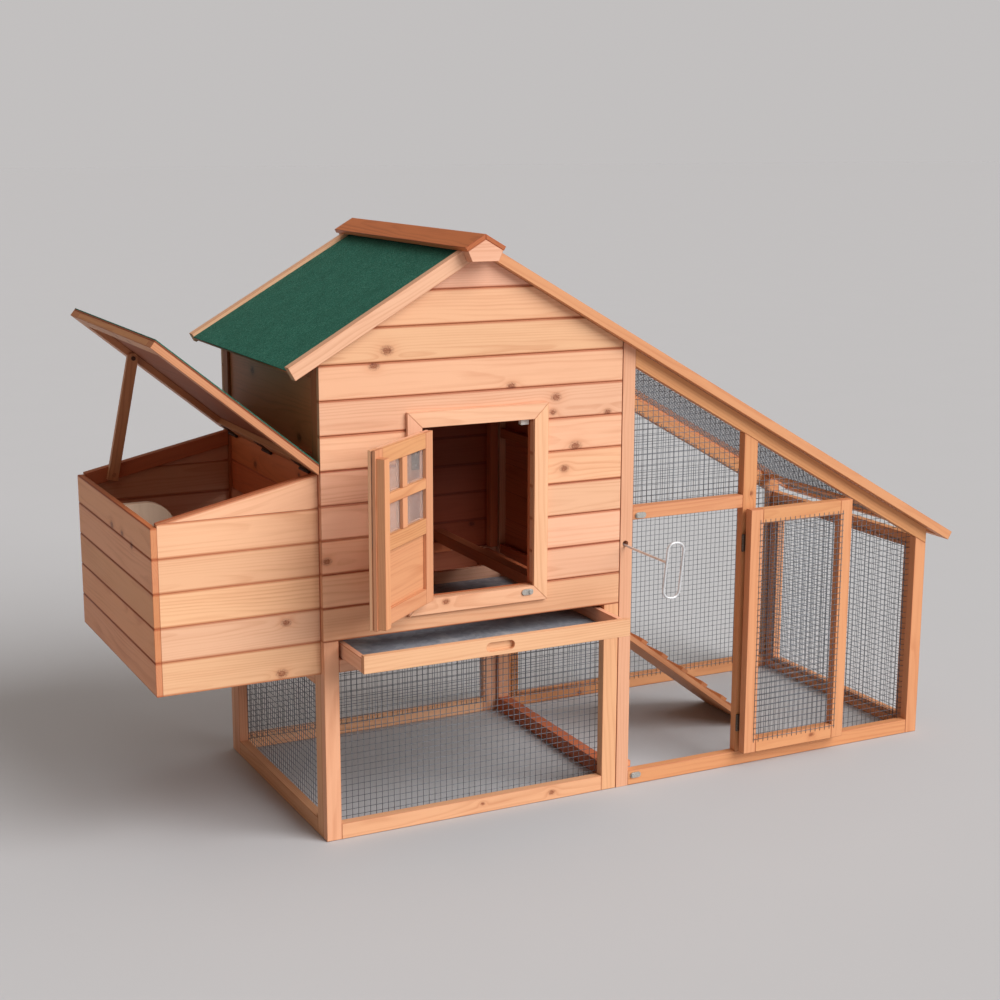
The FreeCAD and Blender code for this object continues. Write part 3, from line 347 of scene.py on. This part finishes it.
FIR_FRONT = fir("fir_front", (235, 182, 147), (202, 134, 97), ring=0.42, redden=(196, 120, 78), vary=0.12)
FIR_RUN = fir("fir_run", (218, 154, 108), (186, 109, 67), ring=0.42, redden=(180, 98, 56), vary=0.12)
# painted shade: a darker, more orange copy of the fir for the recessed door frame and panel
FIR_DOOR_SHADED = fir("fir_door_recess_shaded", (213, 153, 111), (181, 110, 70), ring=0.45, redden=(180, 100, 58), vary=0.16)
FIR_POST = fir("fir_post", (226, 169, 132), (193, 123, 86), ring=0.42, redden=(188, 110, 70), vary=0.12)
# painted shade: a darker copy of the fir for the nest's left side, turned from the light
FIR_SIDE_SHADED = fir("fir_nest_side_shaded", (226, 158, 112), (190, 110, 68), ring=0.42, redden=(180, 100, 58), vary=0.12)
# painted shade: a darker, redder copy of the fir for the left wall in deep shade
FIR_WALL_SHADED = fir("fir_wall_shaded", (226, 128, 80), (180, 90, 50), ring=0.35, redden=(150, 76, 44), vary=0.1)
FIR_PALE = fir("fir_pale", (224, 200, 184), (196, 168, 150), ring=0.25, redden=(190, 150, 128), vary=0.05, rough=0.65)
# painted shade: a darker copy of the fir for the pieces inside the house and nest
FIR_INSIDE_SHADED = fir("fir_inner", (192, 108, 70), (148, 72, 45), ring=0.4, vary=0.16, rough=0.6, redden=(140, 70, 40))
FIR_LID = fir("fir_lid", (206, 144, 102), (168, 100, 64), vary=0.16, redden=(150, 84, 50))
# painted shade: a dark copy of the fir for the lid panel's shaded underside
FIR_UNDER_SHADED = fir("fir_lid_underside_shaded", (160, 92, 62), (124, 64, 40), vary=0.1, rough=0.72, redden=(120, 62, 38))
RIDGE = fir("ridge_brown", (200, 116, 68), (150, 78, 42), knot=(70, 34, 20), vary=0.1, rough=0.42, redden=(120, 60, 36))


# ---------------------------------------------------------------- other materials
def felt(name, base, speck, dark):
    """Bitumen felt dressed with crushed green mineral."""
    t = Tree(name)
    pos = t.nt.nodes.new("ShaderNodeTexCoord").outputs["Object"]
    gran = t.nt.nodes.new("ShaderNodeTexVoronoi")
    gran.inputs["Scale"].default_value = 620.0
    t.link(pos, gran.inputs["Vector"])
    each = t.sep(gran.outputs["Color"])[0]
    big = t.noise(pos, 26.0, 4.0, 0.62)
    fine = t.noise(pos, 240.0, 3.0, 0.7)
    col = t.mix(t.remap(each, 0.55, 1.0), srgb(*base), srgb(*speck))
    col = t.mix(t.remap(each, 0.16, 0.0), col, srgb(*dark))
    col = t.mix(t.math("MULTIPLY", t.remap(big, 0.35, 0.7), 0.45), col, srgb(base[0] * 0.78, base[1] * 0.82, base[2] * 0.8))
    col = t.mix(t.math("MULTIPLY", t.remap(fine, 0.55, 0.8), 0.35), col, srgb(*speck))
    t.link(col, t.bsdf.inputs["Base Color"])
    t.bsdf.inputs["Roughness"].default_value = 0.93
    t.bsdf.inputs["Specular IOR Level"].default_value = 0.25
    h = t.math("ADD", t.math("MULTIPLY", gran.outputs["Distance"], -1.2), t.math("MULTIPLY", fine, 0.8))
    t.link(t.bump(h, 0.9, 0.0009), t.bsdf.inputs["Normal"])
    return t.mat


FELT = felt("felt_green", (36, 104, 88), (78, 138, 120), (14, 54, 46))


def zinc(name, base, dark, rough=0.36, spangle=160.0, metal=1.0, reflection_and_stain=None):
    t = Tree(name)
    pos = t.nt.nodes.new("ShaderNodeTexCoord").outputs["Object"]
    v = t.nt.nodes.new("ShaderNodeTexVoronoi")
    v.inputs["Scale"].default_value = spangle
    t.link(t.vmath("ADD", pos, t.vmath("MULTIPLY", t.comb(t.noise(pos, spangle * 0.6, 2.0), t.noise(pos, spangle * 0.5, 2.0), 0.0), (0.004, 0.004, 0.004))), v.inputs["Vector"])
    each = t.sep(v.outputs["Color"])[0]
    cloud = t.noise(pos, spangle * 0.12, 4.0, 0.6)
    col = t.mix(t.math("MULTIPLY", each, 0.55), srgb(*base), srgb(*dark))
    col = t.mix(t.math("MULTIPLY", t.remap(cloud, 0.4, 0.75), 0.5), col, srgb(*dark))
    # paler blotches: painted reflection as well as stain
    if reflection_and_stain:
        col = t.mix(t.remap(t.noise(pos, 9.0, 5.0, 0.68), 0.52, 0.68), col, srgb(*reflection_and_stain))
    t.link(col, t.bsdf.inputs["Base Color"])
    t.bsdf.inputs["Metallic"].default_value = metal
    t.link(t.math("ADD", rough - 0.08, t.math("MULTIPLY", t.math("ADD", each, cloud), 0.16)), t.bsdf.inputs["Roughness"])
    t.link(t.bump(t.math("ADD", t.math("MULTIPLY", each, 0.3), cloud), 0.25, 0.0003), t.bsdf.inputs["Normal"])
    return t.mat


WIRE = zinc("galvanised_wire", (126, 134, 144), (82, 89, 98), 0.42, 500.0, metal=0.5)
# the tray sheet's pale blotches are painted reflection as well as stain
SHEET = zinc("galvanised_sheet", (160, 165, 176), (116, 121, 132), 0.58, 90.0, metal=0.18, reflection_and_stain=(188, 189, 193))
HARD = zinc("zinc_hardware", (206, 206, 202), (150, 148, 142), 0.34, 700.0, metal=0.7)
HARD_DARK = zinc("weathered_zinc", (120, 112, 102), (70, 62, 56), 0.42, 500.0)
ROD = zinc("bright_rod", (226, 228, 232), (186, 190, 196), 0.30, 400.0, metal=0.35)
HINGE_BROWN = zinc("bronzed_hinge", (92, 62, 46), (50, 34, 26), 0.5, 500.0, metal=0.6)


def plastic_white():
    t = Tree("white_plastic")
    pos = t.nt.nodes.new("ShaderNodeTexCoord").outputs["Object"]
    n = t.noise(pos, 700.0, 3.0, 0.6)
    t.link(t.mix(t.math("MULTIPLY", n, 0.3), srgb(238, 238, 234), srgb(214, 212, 205)), t.bsdf.inputs["Base Color"])
    t.link(t.math("ADD", 0.32, t.math("MULTIPLY", n, 0.15)), t.bsdf.inputs["Roughness"])
    t.link(t.bump(n, 0.2, 0.0002), t.bsdf.inputs["Normal"])
    return t.mat


PLASTIC = plastic_white()


def pane():
    t = Tree("clear_pane")
    pos = t.nt.nodes.new("ShaderNodeTexCoord").outputs["Object"]
    n = t.noise(pos, 60.0, 3.0, 0.6)
    t.link(t.mix(t.math("MULTIPLY", n, 0.25), (0.94, 0.90, 0.88, 1), (0.86, 0.82, 0.82, 1)), t.bsdf.inputs["Base Color"])
    t.bsdf.inputs["Transmission Weight"].default_value = 0.86
    t.bsdf.inputs["IOR"].default_value = 1.33
    t.link(t.math("ADD", 0.04, t.math("MULTIPLY", n, 0.07)), t.bsdf.inputs["Roughness"])
    return t.mat


PANE = pane()

# ---------------------------------------------------------------- timber pieces
# knots seen on the front, as x and z in millimetres on the front plane and a radius
FRONT_KNOTS = [(137, 954, 10), (110, 926, 9), (398, 871, 8), (497, 843, 9), (490, 812, 7), (615, 805, 7), (81, 803, 6),
               (542, 740, 11), (517, 697, 8), (10, 561, 8), (347, 452, 7)]
NEST_KNOTS = [(-68, 448, 8), (-79, 350, 9)]
NEST_SIDE_KNOTS = [(295, 605, 9), (218, 604, 8), (152, 595, 7)]     # y and z on the outer wall


def timber(node, mat, bevel=1.1, knots=None, knot_rate=0.5, knot_size=(3.0, 6.5), name=None, grain_axis=None,
           inside=None, other=None, joints=False):
    """Rebuilds a node's boards with eased arrises and each board's own grain."""
    me = bpy.data.meshes.new(name or node + "_timber")
    big = bmesh.new()
    layers = {}
    data = []
    for i, polys in enumerate(solids(node)):
        bm = solid_bmesh(polys)
        bmesh.ops.dissolve_limit(bm, angle_limit=math.radians(0.6), verts=bm.verts[:], edges=bm.edges[:], delimit={"NORMAL"})
        sized = own_axes(bm)
        if grain_axis is not None:
            a = Vector(grain_axis)
            sized.sort(key=lambda k: -abs(k[1].dot(a)))
            rest = sorted(sized[1:], key=lambda k: -k[0])
            sized = [sized[0]] + rest
        thin = min(k[0] for k in sized)
        r = rng(node, i)
        b = min(bevel / 1000.0, thin * 0.22) * (0.8 + 0.4 * r.random())
        sharp = [e for e in bm.edges if len(e.link_faces) == 2 and e.calc_face_angle(0.0) > math.radians(20)]
        before = set(bm.faces)
        res = bmesh.ops.bevel(bm, geom=sharp, offset=b, offset_type="OFFSET", segments=2, profile=0.6,
                              affect="EDGES", clamp_overlap=True, harden_normals=False)
        eased = set(res["faces"])
        (sl, dl, cl), (sw, dw, cw), (st, dt, ct) = sized
        ks = []
        for kx in (knots or []):
            p = kx[0]
            pl, pw = p.dot(dl) - cl, p.dot(dw) - cw
            if abs(pl) <= sl / 2 + 0.004 and abs(pw) <= sw / 2 + 0.002 and abs(p.dot(dt) - ct) < st / 2 + 0.03:
                ks.append((pl, pw, kx[1]))
        while len(ks) < 3 and not (knots and ks) and r.random() < knot_rate * min(1.0, sl / 0.5):
            kr = min(r.uniform(*knot_size) / 1000.0, sw * 0.14)
            room = sw / 2 - 2.2 * kr
            ks.append((r.uniform(-0.46, 0.46) * sl, r.uniform(-room, room), kr if sw > 0.024 else 0.0))
        ks = (ks + [(0, 0, 0)] * 3)[:3]
        mid = dl * cl + dw * cw + dt * ct
        slot_i = 1 if other and other[1](mid) else 0
        data.append((slot_i, bm, eased, (dl, cl, sl), (dw, cw, sw), (dt, ct), (r.random(), r.random(), r.random()), ks))
    verts, faces, smooth = [], [], []
    grain, board, ka, kb, kc, arris_wear_and_groove_shade, endg, inside_shade_vals, which, joint = [], [], [], [], [], [], [], [], [], []
    for slot_i, bm, eased, (dl, cl, sl), (dw, cw, sw), (dt, ct), rr, ks in data:
        bm.normal_update()
        base = len(verts)
        bm.verts.index_update()
        for v in bm.verts:
            verts.append(v.co.copy())
            grain.append((v.co.dot(dl) - cl, v.co.dot(dw) - cw, v.co.dot(dt) - ct))
            board.append(rr)
            joint.append(sw / 2 if joints else 0.0)
            ka.append(ks[0]); kb.append(ks[1]); kc.append(ks[2])
        for f in bm.faces:
            faces.append([base + v.index for v in f.verts])
            smooth.append(f in eased)
            # the long faces of a V joint get the strongest painted shade
            groove = abs(f.normal.dot(dw)) > 0.5 and abs(f.normal.dot(dt)) > 0.5 and f.calc_area() > 0.0009 * sl
            arris_wear_and_groove_shade.append(2.1 if groove else (1.0 if f in eased else 0.0))
            inside_shade_vals.append(inside(f.normal, f.calc_center_median()) if inside else 0.0)
            which.append(slot_i)
            endg.append(1.0 if abs(f.normal.dot(dl)) > 0.75 else 0.0)
        bm.free()
    me.from_pydata(verts, [], faces)
    me.update()
    for nm, vals in (("grain", grain), ("board", board), ("knot_a", ka), ("knot_b", kb), ("knot_c", kc)):
        a = me.attributes.new(nm, "FLOAT_VECTOR", "POINT")
        a.data.foreach_set("vector", np.array(vals, np.float32).ravel())
    for nm, vals in (("arris_wear_and_groove_shade", arris_wear_and_groove_shade), ("endgrain", endg), ("inside_shade", inside_shade_vals)):
        a = me.attributes.new(nm, "FLOAT", "FACE")
        a.data.foreach_set("value", np.array(vals, np.float32))
    a = me.attributes.new("joint", "FLOAT", "POINT")
    a.data.foreach_set("value", np.array(joint, np.float32))
    me.polygons.foreach_set("use_smooth", smooth)
    me.materials.append(mat)
    if other:
        me.materials.append(other[0])
        me.polygons.foreach_set("material_index", which)
    ob = bpy.data.objects.new(name or node + "_timber", me)
    bpy.context.scene.collection.objects.link(ob)
    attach(ob, BODY[node])
    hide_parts(node)
    return ob


def pts(rows, plane):
    out = []
    for a, z, r in rows:
        p = at(a, 6, z) if plane == "front" else at(-315, a, z)
        out.append((p, r * 0.66 / 1000.0))
    return out


NEST_MID = at(-160, 292, 480)
HOUSE_MID_X = at(320, 0, 0).x
NEST_LEFT_X = at(-290, 0, 0).x


# painted shade on the faces turned into the nest box
def nest_inside_shade(n, c):
    v = NEST_MID - c
    v.z = 0
    return 0.25 if abs(n.z) < 0.3 and n.dot(v) > 0.03 else 0.0


# the inside amounts paint shade on the siding faces turned into the house
timber("house_front_siding", FIR_FRONT, 0.7, pts(FRONT_KNOTS, "front"), 0.0, inside=lambda n, c: 1.0 if n.y > 0.5 else 0.0, joints=True)
timber("house_rear_siding", FIR_FRONT, 0.7, None, 0.45, inside=lambda n, c: 1.0 if n.y < -0.5 else 0.0, joints=True)
timber("front_door_trim", FIR_FRONT, 1.0, None, 0.1)
# the nest's left outer boards take the darker fir, painted shade
timber("nest_walls", FIR_FRONT, 0.7, pts(NEST_KNOTS, "front") + pts(NEST_SIDE_KNOTS, "side"), 0.0, inside=nest_inside_shade,
       other=(FIR_SIDE_SHADED, lambda m: m.x < NEST_LEFT_X), joints=True)
timber("roof_frame", FIR_FRONT, 1.3, None, 0.22, (2.5, 4.5), other=(FIR_RUN, lambda m: m.x > HOUSE_MID_X))
# painted shade on the rear frame's faces turned into the house and run
timber("lower_rear_frame", FIR_FRONT, 1.3, None, 0.22, (2.5, 4.5),
       inside=lambda n, c: 0.9 if n.y < -0.5 and c.z > 0.33 else 0.0)
for n in ("lower_front_frame", "lower_left_frame", "middle_posts"):
    timber(n, FIR_POST, 1.3, None, 0.22, (2.5, 4.5))
for n in ("tray_frame", "ridge_end_blocks"):
    timber(n, FIR_FRONT, 1.3, None, 0.22, (2.5, 4.5))
# the recessed door frame and panel take the darker fir, painted shade
for n in ("front_door_frame", "front_door_panel"):
    timber(n, FIR_DOOR_SHADED, 0.8, None, 0.15, (2.5, 4.0))
timber("front_door_overlay", FIR_FRONT, 0.8, None, 0.1, (2.5, 4.0))
for n in ("run_front_frame", "run_rear_frame", "run_end_frame", "run_door_frame"):
    timber(n, FIR_RUN, 1.3, None, 0.45, (2.5, 4.5))
# the inside pieces take the darker fir, painted shade
for n in ("house_wall_battens", "right_wall_boards", "cross_rails", "tray_runners", "perch", "pop_door_guides",
          "roof_decks", "nest_floor", "nest_battens", "pop_door"):
    timber(n, FIR_INSIDE_SHADED, 0.9, None, 0.3)
# the left wall takes the darker, redder fir, painted shade
timber("left_wall_boards", FIR_WALL_SHADED, 0.9, None, 0.2)
timber("nest_divider", FIR_PALE, 1.2, None, 0.0)
timber("ramp", FIR_RUN, 1.0, None, 0.3)
for n in ("nest_lid_frame", "nest_lid_prop"):
    timber(n, FIR_LID, 1.0, None, 0.3)
# the lid panel takes the dark fir, painted shade on its underside
timber("nest_lid_panel", FIR_UNDER_SHADED, 1.0, None, 0.3)
timber("ridge_cap", RIDGE, 1.2, None, 0.1)


# ---------------------------------------------------------------- welded mesh
def wires(node, sides=8):
    """Round galvanised wires in place of a panel's square ones."""
    verts, faces = [], []
    for i, polys in enumerate(solids(node)):
        co = np.array([v for p in polys for v in p])
        c = co.mean(0)
        bm = solid_bmesh(polys)
        sized = own_axes(bm)
        bm.free()
        (sl, dl, cl), (sw, dw, cw), (st, dt, ct) = sized
        r = 0.00056
        centre = dl * cl + dw * cw + dt * ct
        rr = rng(node, i)
        steps = max(2, int(sl / 0.16))
        amp = 0.00022
        ph1, ph2 = rr.random() * 6.28, rr.random() * 6.28
        k1 = 6.28 / (0.10 + 0.1 * rr.random())
        base = len(verts)
        for s in range(steps + 1):
            d = -sl / 2 + sl * s / steps
            fade = min(1.0, 4.0 * min(s, steps - s) / steps)
            o = dw * (amp * fade * math.sin(k1 * d + ph1)) + dt * (amp * 0.3 * fade * math.sin(k1 * 0.7 * d + ph2))
            for k in range(sides):
                a = 2 * math.pi * (k + 0.5) / sides
                verts.append(centre + dl * d + o + dw * (r * math.cos(a)) + dt * (r * math.sin(a)))
        for s in range(steps):
            for k in range(sides):
                a0, a1 = base + s * sides + k, base + s * sides + (k + 1) % sides
                faces.append((a0, a1, a1 + sides, a0 + sides))
        faces.append([base + k for k in range(sides)][::-1])
        faces.append([base + steps * sides + k for k in range(sides)])
    me = bpy.data.meshes.new(node + "_wires")
    me.from_pydata([tuple(v) for v in verts], [], faces)
    bm = bmesh.new()
    bm.from_mesh(me)
    bmesh.ops.recalc_face_normals(bm, faces=bm.faces[:])
    bm.to_mesh(me)
    bm.free()
    me.polygons.foreach_set("use_smooth", [len(p.vertices) == 4 for p in me.polygons])
    me.materials.append(WIRE)
    ob = bpy.data.objects.new(node + "_wires", me)
    bpy.context.scene.collection.objects.link(ob)
    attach(ob, BODY[node])
    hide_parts(node)
    return ob


for n in ("lower_front_mesh", "lower_left_mesh", "lower_rear_mesh", "run_front_mesh", "run_rear_mesh",
          "run_end_mesh", "run_roof_mesh", "run_door_mesh"):
    wires(n)

# ---------------------------------------------------------------- carried-over pieces
def dress(node, mat, bevel=None, segments=2, smooth=True):
    ob = NODES[node]
    ob.data.materials.clear()
    ob.data.materials.append(mat)
    if bevel:
        w = ob.modifiers.new("weld", "WELD")
        w.merge_threshold = 0.00001
        b = ob.modifiers.new("bevel", "BEVEL")
        b.width = bevel / 1000.0
        b.segments = segments
        b.limit_method = "ANGLE"
        b.angle_limit = math.radians(32)
        b.use_clamp_overlap = True
    return ob


for n in ("nest_lid_hinges_fixed", "nest_lid_hinges_moving"):
    dress(n, HINGE_BROWN)
for n in ("door_hinges_fixed", "front_door_hinges_moving",
          "run_door_hinges_moving", "ramp_hinges_fixed", "ramp_hinges_moving"):
    dress(n, HARD_DARK)
for n in ("front_door_button", "run_door_top_button", "run_door_bottom_button", "hinge_and_button_screws"):
    dress(n, HARD)
dress("pull_handle", ROD)
dress("tray_sheet", SHEET)
dress("front_door_catch", PLASTIC, 0.8)
dress("front_door_glazing", PANE)
for n in ("roof_felts", "nest_lid_felt"):
    dress(n, FELT)

# ---------------------------------------------------------------- floor, light, camera
floor_mesh = bpy.data.meshes.new("floor")
floor_mesh.from_pydata([(-60, -60, 0), (60, -60, 0), (60, 60, 0), (-60, 60, 0)], [], [(0, 1, 2, 3)])
floor = bpy.data.objects.new("floor", floor_mesh)
bpy.context.scene.collection.objects.link(floor)
ft = Tree("pale_floor")
fpos = ft.nt.nodes.new("ShaderNodeTexCoord").outputs["Object"]
ft.link(ft.mix(ft.noise(fpos, 3.0, 2.0), (0.512, 0.525, 0.552, 1), (0.522, 0.535, 0.562, 1)), ft.bsdf.inputs["Base Color"])
ft.bsdf.inputs["Roughness"].default_value = 0.95
ft.bsdf.inputs["Specular IOR Level"].default_value = 0.1
floor_mesh.materials.append(ft.mat)
floor.location.z = -0.0005

world = bpy.data.worlds.new("studio")
bpy.context.scene.world = world
world.use_nodes = True
wn = world.node_tree
bg = wn.nodes["Background"]
bg.inputs[0].default_value = (1.0, 0.80, 0.64, 1)
bg.inputs[1].default_value = 0.24
plain = wn.nodes.new("ShaderNodeBackground")
plain.inputs[0].default_value = (0.541, 0.524, 0.521, 1)
pick = wn.nodes.new("ShaderNodeMixShader")
path = wn.nodes.new("ShaderNodeLightPath")
wn.links.new(path.outputs["Is Camera Ray"], pick.inputs[0])
wn.links.new(bg.outputs[0], pick.inputs[1])
wn.links.new(plain.outputs[0], pick.inputs[2])
wn.links.new(pick.outputs[0], wn.nodes["World Output"].inputs[0])


def sun(name, direction, strength, angle, colour=(1, 1, 1)):
    li = bpy.data.lights.new(name, "SUN")
    li.energy = strength
    li.angle = math.radians(angle)
    li.color = colour
    ob = bpy.data.objects.new(name, li)
    ob.rotation_mode = "QUATERNION"
    ob.rotation_quaternion = (-Vector(direction)).to_track_quat("-Z", "Y")
    bpy.context.scene.collection.objects.link(ob)
    return ob


sun("key", (0.50, -0.78, 0.62), 3.4, 46, (1.0, 0.985, 0.965))
sun("top", (0.30, -0.10, 1.0), 0.7, 80)

cam = bpy.data.cameras.new("camera")
cam_ob = bpy.data.objects.new("camera", cam)
bpy.context.scene.collection.objects.link(cam_ob)
roll = math.radians(0.17)
fwd = Vector((0.4385, 0.8741, -0.2089)).normalized()
right = fwd.cross(Vector((0, 0, 1))).normalized()
up = right.cross(fwd).normalized()
r2 = (math.cos(roll) * right + math.sin(roll) * up).normalized()
u2 = (-math.sin(roll) * right + math.cos(roll) * up).normalized()
m = Matrix((r2, u2, -fwd)).transposed().to_4x4()
m.translation = at(-1116.07, -2970.26, 1356.16)
cam_ob.matrix_world = m
cam.sensor_width = 36.0
cam.sensor_fit = "HORIZONTAL"
cam.lens = 1730.5 * 36.0 / 1000.0
cam.clip_start, cam.clip_end = 0.05, 200.0
cam.dof.use_dof = False
bpy.context.scene.camera = cam_ob
bpy.context.scene.view_settings.view_transform = "Standard"
bpy.context.scene.view_settings.look = "None"
